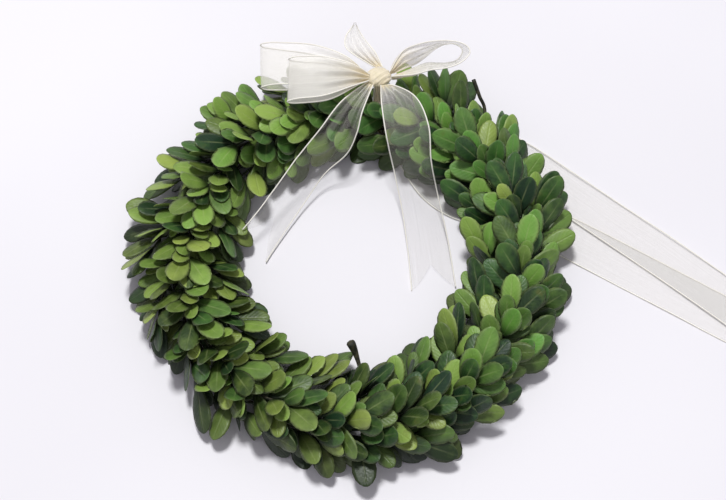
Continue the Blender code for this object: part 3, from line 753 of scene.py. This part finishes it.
def leafFinish():
    look = leafLook
    material, shader = newFinish("preserved leaf", look["freshGreen"], look["roughness"])
    olive, light, own = readMark(shader, "leafToneAndLight", "Color")
    along, across, upper = readMark(shader, "leafPlace", "Vector")
    mottle, grain = speckle(shader, *look["mottle"], own), speckle(shader, *look["grain"], own)
    # Lightness: the leaf's own tone with the painted light from the wreath's top, painted shade towards the
    # leaf's root and painted light towards its tip, painted shade at its edges, and soft mottling
    fromRib = calc("ABSOLUTE", across)
    toneAndPaintedLight = plus(light, about(mottle, 0.5, look["mottling"]))
    toneAndPaintedLight = plus(toneAndPaintedLight, about(along, *look["paintedLightToTip"]))
    toneAndPaintedLight = minus(toneAndPaintedLight, times(fromRib, look["edgeShade"]), True)
    yellow = plus(olive, about(grain, 0.5, look["grainOlive"]), True)
    green = blendColor(toneAndPaintedLight, look["deepGreen"], look["freshGreen"])
    brownish = blendColor(toneAndPaintedLight, look["deepOlive"], look["freshOlive"])
    color = blendColor(yellow, green, brownish)
    # A pale rim, the leaf's paler margin with a painted highlight on it that is brighter on lighter leaves,
    # a pale midrib, a few brown spots, and the underside
    rim = plus(ramp(fromRib, *look["rimLine"]), times(ramp(fromRib, *look["paintedRimHighlight"]), toneAndPaintedLight))
    rib = times(ramp(fromRib, *look["rib"]), ramp(along, *look["ribFade"]))
    color = blendColor(plus(rim, rib, True), color, look["pale"])
    color = blendColor(ramp(mottle, *look["spots"]), color, look["brown"])
    color = blendColor(times(minus(1.0, upper), look["undersideShare"]), color, look["underside"])
    # Painted shade: leaves near the surface are darker, and so is every leaf near its stalk
    height = newNode(shader, "SeparateXYZ", ownPlace(shader)).outputs[2]
    outsidePaintedShade = times(ramp(height, *look["low"]), ramp(along, *look["stalk"]))
    feed(shader, "Base Color", blendColor(outsidePaintedShade, look["shade"], color))
    feed(shader, "Roughness", ramp(grain, *look["shine"]))
    # About ten side veins on each side leave the midrib forward at a slant
    slant = minus(times(along, look["veins"]), times(fromRib, look["veinSlant"]))
    veins = times(calc("SINE", slant), look["veinDepth"])
    relief = plus(plus(veins, ramp(fromRib, *look["groove"])), times(grain, look["grainDepth"]))
    addBump(shader, relief, *look["bump"])
    return material


# Leaves: h(s) = s^rootPower (1 - s)^tipPower, scaled to 1 at its widest, and the edges stand off the
# midrib by a cup drawn between two limits; resting leaves have less of each
leafShape = {
    "rings": (0.0, 0.12, 0.30, 0.50, 0.68, 0.83, 0.93, 0.985, 1.0), "around": 8, "seed": 5000,
    "rootPower": 1.08, "tipPower": 0.60, "halfWidth": 0.45, "stalk": 0.45 * mm,
    "thickness": 0.34 * mm, "taper": 0.6, "cup": (-1.5 * mm, 0.55 * mm), "ripple": 0.4 * mm,
    "pace": (5, 11), "phase": 6.3, "twist": 13, "twistFrom": 0.3, "restingShare": 0.15,
    "floorGap": 0.25 * mm}


def leafSurfaces(leaves, draw):
    # P(s, a) = C(s) + X w cos a + N (t sin a + cup h^2 cos^2 a + ripple h sin(pace s + phase) cos^3 a),
    # w = width halfWidth h + stalk (1 - s)^3, t = thickness (1 + taper (1 - s)) / 2,
    # X across the leaf and N out of its face, both turned by twist (s - twistFrom)
    shape = leafShape
    s = np.array(shape["rings"])
    rows, around, count = len(s), shape["around"], len(leaves)
    # The centre line is the cubic through the leaf's four centres
    stations = leafPlan["stations"]
    basis = np.ones((rows, 4))
    for i in range(4):
        for j in range(4):
            if i != j:
                basis[:, i] *= (s - stations[j]) / (stations[i] - stations[j])
    centres = np.array([[tuple(point) for point in leaf["centres"]] for leaf in leaves])
    across = unit(np.array([tuple(leaf["across"]) for leaf in leaves]))
    width = np.array([leaf["width"] for leaf in leaves])
    line = np.einsum("ri,nij->nrj", basis, centres)
    resting = np.array([bool(leaf.get("resting")) for leaf in leaves])
    floor = shape["floorGap"] + shape["thickness"] / 2
    line[resting, :, 2] = np.maximum(line[resting, :, 2], floor)
    heading = unit(np.gradient(line, s, axis=1))
    x = unit(across[:, None] - heading * (across[:, None] * heading).sum(-1, keepdims=True))
    n = np.cross(x, heading)
    calm = np.where(resting, shape["restingShare"], 1.0)
    twist = np.radians(draw.normal(0, shape["twist"], count)) * calm
    turn = (twist[:, None] * (s - shape["twistFrom"])[None])[..., None]
    x, n = x * np.cos(turn) + n * np.sin(turn), n * np.cos(turn) - x * np.sin(turn)
    a, b = shape["rootPower"], shape["tipPower"]
    widest = a / (a + b)
    half = s ** a * (1 - s) ** b / (widest ** a * (1 - widest) ** b)
    w = width[:, None] * shape["halfWidth"] * half + shape["stalk"] * (1 - s) ** 3
    thick = shape["thickness"] / 2 * (1 + shape["taper"] * (1 - s))
    angle = np.arange(around) * 2 * np.pi / around
    cos, sin = np.cos(angle), np.sin(angle)
    cup = draw.uniform(*shape["cup"], count) * calm
    ripple = draw.normal(0, shape["ripple"], count) * calm
    pace, phase = draw.uniform(*shape["pace"], count), draw.uniform(0, shape["phase"], count)
    wave = ripple[:, None] * half * np.sin(pace[:, None] * s + phase[:, None])
    lift = (thick[None, :, None] * sin + cup[:, None, None] * (half ** 2)[None, :, None] * cos ** 2
            + wave[..., None] * cos ** 3)
    points = line[:, :, None] + x[:, :, None] * (w[..., None] * cos)[..., None]
    points = points + n[:, :, None] * lift[..., None]
    points[..., 2] = np.maximum(points[..., 2], shape["floorGap"] / 2)
    points = np.concatenate([points[:, 1:-1].reshape(count, -1, 3), line[:, :1], line[:, -1:]], 1)
    size = points.shape[1]
    start = (np.arange(count) * size)[:, None, None]
    quads = gridFaces(rows - 2, around)[:, ::-1] + start
    caps = endCaps(around, size - 2, size - 1, (rows - 3) * around)[:, ::-1] + start
    # Marks: the place along the leaf, across it, and 1 on its upper side
    marks = np.zeros((count, size, 3))
    marks[:, :-2, 0] = np.repeat(s[1:-1], around)
    marks[:, -1, 0] = 1
    marks[:, :-2, 1] = np.tile(cos, rows - 2)
    marks[:, :-2, 2] = np.tile(np.clip(sin * 2 + 0.5, 0, 1), rows - 2)
    marks[:, -2:, 2] = 0.5
    return points.reshape(-1, 3), quads.reshape(-1, 4), caps.reshape(-1, 3), marks.reshape(-1, 3), size


toneAndLightPlan = {
    "olive": 0.50, "oliveLeft": 0.18, "oliveLow": 0.12, "spread": 0.20,
    "light": 0.54, "paintedLightTop": 0.20, "lightSpread": 0.33,
    "darkShare": 0.20, "darkOlive": 0.25, "darkLight": 0.35,
    "paleShare": 0.13, "paleOlive": 0.25, "paleLight": 0.4}


def leafTonesAndLight(leaves, draw):
    # olive and light = mean + shares of the cosine and sine of the place round the wreath + an own draw;
    # light's share of the sine is painted light, lighter towards the wreath's top
    plan, count = toneAndLightPlan, len(leaves)
    middle = np.array([tuple(leaf["centres"][1] - ring["centre"]) for leaf in leaves])
    right, high = unit(middle[:, :2]).T
    olive = plan["olive"] - plan["oliveLeft"] * right - plan["oliveLow"] * high
    olive = olive + draw.normal(0, plan["spread"], count)
    # Painted light: leaves towards the top of the wreath are lighter and those towards its bottom darker
    light = plan["light"] + plan["paintedLightTop"] * high + draw.normal(0, plan["lightSpread"], count)
    kind = draw.random(count)
    dark, pale = kind < plan["darkShare"], kind > 1 - plan["paleShare"]
    olive = np.where(dark, olive * plan["darkOlive"], olive) + pale * plan["paleOlive"]
    light = np.where(dark, light * plan["darkLight"], light) + pale * plan["paleLight"]
    return np.stack([np.clip(olive, 0, 1), np.clip(light, 0, 1), draw.random(count), np.ones(count)], -1)


stemShape = {"root": 1.0 * mm, "tip": 0.55 * mm, "rows": 22, "around": 8,
             "twig": 1.0 * mm, "cone": 0.32, "lean": (-1.3, 0.7, 0), "side": (0.9, 0.3, 0.1)}
barkLook = {"base": (0.03, 0.03, 0.02), "dark": (0.010, 0.012, 0.008), "light": (0.060, 0.055, 0.028),
            "roughness": 0.7, "specks": (420.0, 4.0), "between": (0.35, 0.65),
            "fine": (900.0, 3.0), "relief": (0.6, 0.3 * mm)}


def stemSurface(sprig):
    # radius = root + (tip - root) s along the stem's own curve
    share = np.linspace(0, 1, stemShape["rows"])
    radii = stemShape["root"] + (stemShape["tip"] - stemShape["root"]) * share
    return tubeSurface(splineAt(stemPoints(sprig), share), radii, stemShape["around"])


def twigSurface(points, swelling):
    # radius = twig + swelling e^(-((1 - s) / cone)^2), and the cut end leans by its swelling times s^2
    share = np.linspace(0, 1, stemShape["rows"])
    radii = stemShape["twig"] + swelling * np.exp(-((1 - share) / stemShape["cone"]) ** 2)
    path = splineAt(points, share) + swelling * share[:, None] ** 2 * np.array(stemShape["lean"])
    return tubeSurface(path, radii, stemShape["around"], lean=stemShape["side"])


def buildSprigs(sprigs, leaf, bark):
    for number, sprig in enumerate(sprigs):
        draw = np.random.default_rng(leafShape["seed"] + number)
        *leaves, places, size = leafSurfaces(sprig["leaves"], draw)
        tonesAndLight = np.repeat(leafTonesAndLight(sprig["leaves"], draw), size, 0)
        wood = [stemSurface(sprig)] + [twigSurface(*spur) for spur in sprig["spurs"]]
        points, quads, caps = joined([leaves] + wood)
        woody = [np.arange(len(faces)) >= len(own) for faces, own in ((quads, leaves[1]), (caps, leaves[2]))]
        piece = addSurface(sprig["name"].replace("sprig", "leafy_sprig"), points, quads, caps, [leaf, bark],
                           np.concatenate(woody).astype(np.int32))
        more = len(points) - len(places)
        addMarks(piece, "leafPlace", "FLOAT_VECTOR", np.concatenate([places, np.zeros((more, 3))]))
        addMarks(piece, "leafToneAndLight", "FLOAT_COLOR", np.concatenate([tonesAndLight, np.ones((more, 4))]))
        settle(piece, "foliage", sprig["name"])


# Hoop and binding
hoopShape = {"rows": 180, "around": 14, "bindingRows": 3, "bindingAround": 8, "overlap": 3}
wireLook = {"base": (0.05, 0.09, 0.045), "dark": (0.030, 0.062, 0.030), "light": (0.075, 0.115, 0.06),
            "roughness": 0.42, "specks": (260.0, 3.0), "between": (0.4, 0.62), "more": {"Metallic": 0.35},
            "fine": (1500.0, 2.0), "relief": (0.25, 0.1 * mm)}


def buildHoop(finish):
    # Path = centre + radius (cos turn, sin turn)
    turn = np.arange(hoopShape["rows"]) * 2 * np.pi / hoopShape["rows"]
    centre = np.array(tuple(ring["centre"]))
    path = centre + ring["radius"] * np.stack([np.cos(turn), np.sin(turn), turn * 0], -1)
    surface = tubeSurface(path, ring["wire"] / 2, hoopShape["around"], closed=True)
    settle(addSurface("hoop", *surface, [finish]), "hoop_wire", "wire_ring")


def buildBinding(finish):
    # Path = Catmull-Rom curve through the planned points, some of them repeated so that it closes smoothly
    knots, overlap = bindingPoints(), hoopShape["overlap"]
    rim = knots[-overlap:] + knots + knots[:overlap]
    steps = np.arange(len(knots) * hoopShape["bindingRows"]) / hoopShape["bindingRows"]
    path = splineAt(rim, (steps + overlap) / (len(rim) - 1))
    surface = tubeSurface(path, bindingPlan["wire"] / 2, hoopShape["bindingAround"], closed=True,
                          lean=(0.3, 0.1, 0.95))
    settle(addSurface("binding", *surface, [finish]), "hoop_wire", "binding_wire")


# Ribbon
organzaLook = {
    "white": (0.70, 0.675, 0.62), "bright": (0.93, 0.91, 0.85), "cream": (0.95, 0.85, 0.62),
    "sheer": 0.07, "gathered": 0.72, "thread": 0.02, "threads": 60, "picks": 2400,
    "clouds": 0.10, "cloudsAlong": 22.0, "cloudsAcross": 26.0, "cloudNoise": (1.0, 2.0),
    "creamClouds": 0.2, "folds": (0.0, 0.14), "tightFolds": (0.38, 1.0),
    "roughness": 0.5, "sheen": (0.3, 0.4), "bump": (0.2, 0.05 * mm)}
cordLook = {"base": (0.96, 0.94, 0.86), "dark": (0.86, 0.83, 0.74), "light": (0.96, 0.94, 0.86),
            "roughness": 0.45, "specks": (2200.0, 1.0), "between": (0.3, 0.7), "more": {"Sheen Weight": 0.4},
            "relief": (0.4, 0.1 * mm)}


def organzaFinish():
    # alpha = sheer + thread (sin(warp) + sin(weft)) + clouds (noise - 1/2) + (gathered - sheer) gather
    look = organzaLook
    material, shader = newFinish("sheer organza", look["white"], look["roughness"])
    along, across, gather = readMark(shader, "ribbonPlace", "Vector")
    warp = calc("SINE", times(across, look["threads"] * 2 * math.pi))
    weave = plus(warp, calc("SINE", times(along, look["picks"] * 2 * math.pi)))
    stretch = newNode(shader, "CombineXYZ", times(along, look["cloudsAlong"]),
                      times(across, look["cloudsAcross"]))
    cloud = minus(noiseAt(stretch.outputs[0], *look["cloudNoise"]), 0.5)
    alpha = plus(look["sheer"], times(weave, look["thread"]))
    alpha = plus(alpha, times(cloud, look["clouds"]))
    feed(shader, "Alpha", plus(alpha, times(gather, look["gathered"] - look["sheer"]), True))
    # One flat layer looks greyish, several folded ones white, and the tight folds at the knot cream
    folded = blendColor(ramp(gather, *look["folds"]), look["white"], look["bright"])
    tone = plus(ramp(gather, *look["tightFolds"]), times(cloud, look["creamClouds"]), True)
    feed(shader, "Base Color", blendColor(tone, folded, look["cream"]))
    feed(shader, "Sheen Weight", look["sheen"][0])
    feed(shader, "Sheen Roughness", look["sheen"][1])
    addBump(shader, weave, *look["bump"])
    return material


cloth = {"thickness": 0.12 * mm, "edge": 0.38 * mm, "edgeAround": 8, "edgeSide": (0.12, 0.2, 0.97)}
# Pleats across the ribbon take up the width that it loses towards the knot, and the cloth sags a little
pleats = {"waves": 3.2, "most": 1.5 * mm, "rise": 2.5 * mm, "skew": 26,
          "sagAlong": 95, "sagAcross": 3.1, "sagRise": 0.03}
loopLook = {"ends": 2, "held": "folded", "gather": 15 * mm, "drape": 0.25 * mm}
tailLook = {"cells": (120, 36), "ends": 1, "held": "draped", "body": 0.0, "gather": 7 * mm,
            "drape": 0.7 * mm}
bowPieces = {
    "bow_loop_left_back": {**loopLook, "cells": (150, 36), "flat": (25 * mm, 126 * mm), "body": 0.22},
    "bow_loop_left_front": {**loopLook, "cells": (130, 36), "flat": (25 * mm, 94 * mm), "body": 0.3},
    "bow_loop_right": {**loopLook, "cells": (130, 36), "flat": (25 * mm, 98 * mm), "body": 0.26,
                       "drape": 0.3 * mm},
    "bow_short_end": {"cells": (40, 30), "ends": 1, "flat": (25 * mm, 34 * mm), "held": "gathered",
                      "body": 0.16, "gather": 13 * mm, "drape": 0.4 * mm},
    "bow_tail_left": {**tailLook, "flat": (25 * mm, 98 * mm)},
    "bow_tail_right": {**tailLook, "flat": (25 * mm, 117 * mm)},
    "hanging_ribbon": {**loopLook, "cells": (360, 24), "flat": (25 * mm, 584 * mm), "held": "laid",
                       "body": 0.14, "lowest": 0.3 * mm},
    "ribbon_band": {"cells": (80, 24), "ends": 0, "flat": (10 * mm, 72 * mm), "held": "gathered",
                    "body": 0.9, "gather": 15 * mm, "drape": 0.0}}


def ribbonSurface(name, look):
    # P(u, v) = the strip's own point + N (fold + sag),
    # fold = pleat (1 - e^(-d / rise)) sin(2 pi waves v + skew d), d = distance to the nearer gathered end,
    # pleat = w / (4 waves) sqrt((cloth width / w)^2 - 1), at most the deepest that the knot leaves room for,
    # sag = drape sin(sagAlong l + sagAcross v) sin(pi min(d / sagRise, 1/2)), w = width, l = length so far,
    # and gather = body + (1 - body) e^(-d / gather); a piece without a gathered end has none of the e terms
    rows, columns = look["cells"]
    v = np.linspace(0, 1, columns + 1)[None]
    points = ribbonPoints(ribbons[name], rows, columns)
    normal = unit(np.cross(np.gradient(points, axis=0), np.gradient(points, axis=1)))
    step = np.linalg.norm(np.diff(points[:, columns // 2], axis=0), axis=-1)
    travelled = np.concatenate([[0], np.cumsum(step)])[:, None]
    length = travelled[-1, 0]
    far = (travelled * 0, travelled, np.minimum(travelled, length - travelled))[look["ends"]]
    width = np.linalg.norm(points[:, 0] - points[:, -1], axis=-1)[:, None]
    takenUp = np.sqrt(np.maximum((look["flat"][0] / width) ** 2 - 1, 0))
    pleat = np.minimum(width / (4 * pleats["waves"]) * takenUp, pleats["most"])
    if look["ends"]:
        pleat = pleat * (1 - np.exp(-far / pleats["rise"]))
    fold = pleat * np.sin(2 * np.pi * pleats["waves"] * v + pleats["skew"] * far)
    sag = look["drape"] * np.sin(pleats["sagAlong"] * travelled + pleats["sagAcross"] * v)
    sag = sag * np.sin(np.pi * np.clip(far / pleats["sagRise"], 0, 0.5))
    points = points + normal * (fold + sag)[..., None]
    if "lowest" in look:
        points[..., 2] = np.maximum(points[..., 2], look["lowest"])
    gather = look["body"] + (1 - look["body"]) * np.exp(-far / look["gather"]) * (look["ends"] > 0)
    return points, np.stack(np.broadcast_arrays(travelled, v, gather), -1), length


def buildRibbon(name, look, organza, cord):
    points, marks, length = ribbonSurface(name, look)
    piece = addSurface(name + "_organza", points.reshape(-1, 3), stripQuads(*look["cells"]), noTriangles,
                       [organza])
    addMarks(piece, "ribbonPlace", "FLOAT_VECTOR", marks)
    thick = piece.modifiers.new("thickness", "SOLIDIFY")
    thick.thickness = cloth["thickness"]
    thick.offset = 0
    cords = [tubeSurface(line, cloth["edge"], cloth["edgeAround"], lean=cloth["edgeSide"])
             for line in (points[:, 0], points[:, -1])]
    both = addSurface(name + "_edges", *joined(cords), [cord])
    settle(piece, "ribbon", name)
    settle(both, "ribbon")
    print(f"  {name}: {length / mm:.0f} mm along its middle")


# The wrap runs from the lower left to the upper right, with fine creases along it
wrap = {"rows": 70, "around": 110, "heading": 40, "waist": 0.05, "depth": 0.03, "creases": 15,
        "lean": 3, "fineShare": 0.5, "fineCreases": 34.5, "fineLean": 4, "markScale": (0.01, 0.5)}


def buildKnot(organza):
    # P = centre + size/2 d (1 - waist q^2 + depth crease), d the direction from the centre,
    # crease = cos(creases q + lean d.z) + fineShare cos(fineCreases q - fineLean t),
    # t the share of d along the wrap and q its share across it
    look = wrap
    rows, around = look["rows"] - 2, look["around"]
    polar = np.linspace(0, np.pi, look["rows"])[1:-1, None]
    turn = (np.arange(around) * 2 * np.pi / around)[None]
    d = np.stack([np.cos(polar) + 0 * turn, np.sin(polar) * np.cos(turn), np.sin(polar) * np.sin(turn)], -1)
    d = np.concatenate([d.reshape(-1, 3), [[1, 0, 0], [-1, 0, 0]]])
    heading = math.radians(look["heading"])
    along = d[:, 0] * math.cos(heading) + d[:, 1] * math.sin(heading)
    across = d[:, 1] * math.cos(heading) - d[:, 0] * math.sin(heading)
    fine = np.cos(look["fineCreases"] * across - look["fineLean"] * along)
    crease = np.cos(look["creases"] * across + look["lean"] * d[:, 2]) + look["fineShare"] * fine
    swell = 1 - look["waist"] * across ** 2 + look["depth"] * crease
    half = np.array(knotPlan["size"]) * mm / 2
    points = np.array(tuple(place(*knotPlan["centre"]))) + d * half * swell[:, None]
    caps = endCaps(around, rows * around, rows * around + 1, (rows - 1) * around)
    piece = addSurface("knot", points, gridFaces(rows, around), caps, [organza])
    marks = [along * look["markScale"][0], across * look["markScale"][1], 0 * along + 1]
    addMarks(piece, "ribbonPlace", "FLOAT_VECTOR", np.stack(marks, -1))
    settle(piece, "ribbon", "bow_knot")


# Floor, light and camera
studio = {
    "floorSize": 6.0, "floorDrop": 0.2 * mm, "sky": (0.95, 0.92, 1.0), "skyStrength": 0.41,
    "key": (-0.22, 0.72, 3.10), "keySize": 0.50, "keyPower": 79.0, "sensor": 36}
floorLook = {"base": (0.78, 0.77, 0.80), "dark": (0.78, 0.77, 0.80), "light": (0.83, 0.82, 0.85),
             "roughness": 0.6, "specks": (3.0, 2.0), "between": (0.3, 0.7)}


def standOff(name, data, offset):
    # A lamp or camera that far from the target, looking at it
    item = bpy.data.objects.new(name, data)
    item.location = place(*view["target"]) + offset
    item.rotation_euler = (-offset).to_track_quat("-Z", "Y").to_euler()
    bpy.context.scene.collection.objects.link(item)
    return item


def buildStudio():
    scene = bpy.context.scene
    half = studio["floorSize"] / 2
    corners = [(x * half, y * half, -studio["floorDrop"]) for x, y in ((-1, -1), (1, -1), (1, 1), (-1, 1))]
    floor = addSurface("table_top", np.array(corners), np.array([[0, 1, 2, 3]]), noTriangles,
                       [speckledFinish("pale table", floorLook)])
    key = bpy.data.lights.new("window", "AREA")
    key.size, key.energy = studio["keySize"], studio["keyPower"]
    standOff("window", key, Vector(studio["key"]))
    world = bpy.data.worlds.new("soft light")
    world.use_nodes = True
    sky = world.node_tree.nodes["Background"]
    sky.inputs[0].default_value = (*studio["sky"], 1)
    sky.inputs[1].default_value = studio["skyStrength"]
    scene.world = world
    camera = bpy.data.cameras.new("camera")
    camera.sensor_width = studio["sensor"]
    camera.lens = camera.sensor_width * view["distance"] / (view["pixel"] * view["image"][0])
    tilt = math.radians(view["elevation"])
    back = Vector((0, -math.cos(tilt), math.sin(tilt)))
    scene.camera = standOff("camera", camera, back * view["distance"])
    scene.view_settings.view_transform = "Standard"


def leafCount(sprigs):
    return sum(len(sprig["leaves"]) for sprig in sprigs)


def main():
    sprigs, site = planWreath()
    planned = leafCount(sprigs)
    growOutlineLeaves(sprigs, site)
    outlined = leafCount(sprigs)
    fillSprigs(sprigs, site)
    print("leaves planned:", planned, "at the outline:", outlined - planned,
          "and grown in the gaps:", leafCount(sprigs) - outlined)
    buildSprigs(sprigs, leafFinish(), speckledFinish("twig bark", barkLook))
    print("sprigs built")
    wire = speckledFinish("green wire", wireLook)
    buildHoop(wire)
    buildBinding(wire)
    print("hoop and binding built")
    organza, cord = organzaFinish(), speckledFinish("woven ribbon edge", cordLook)
    for name, look in bowPieces.items():
        buildRibbon(name, look, organza, cord)
    buildKnot(organza)
    print("bow and ribbon built")
    buildStudio()


main()
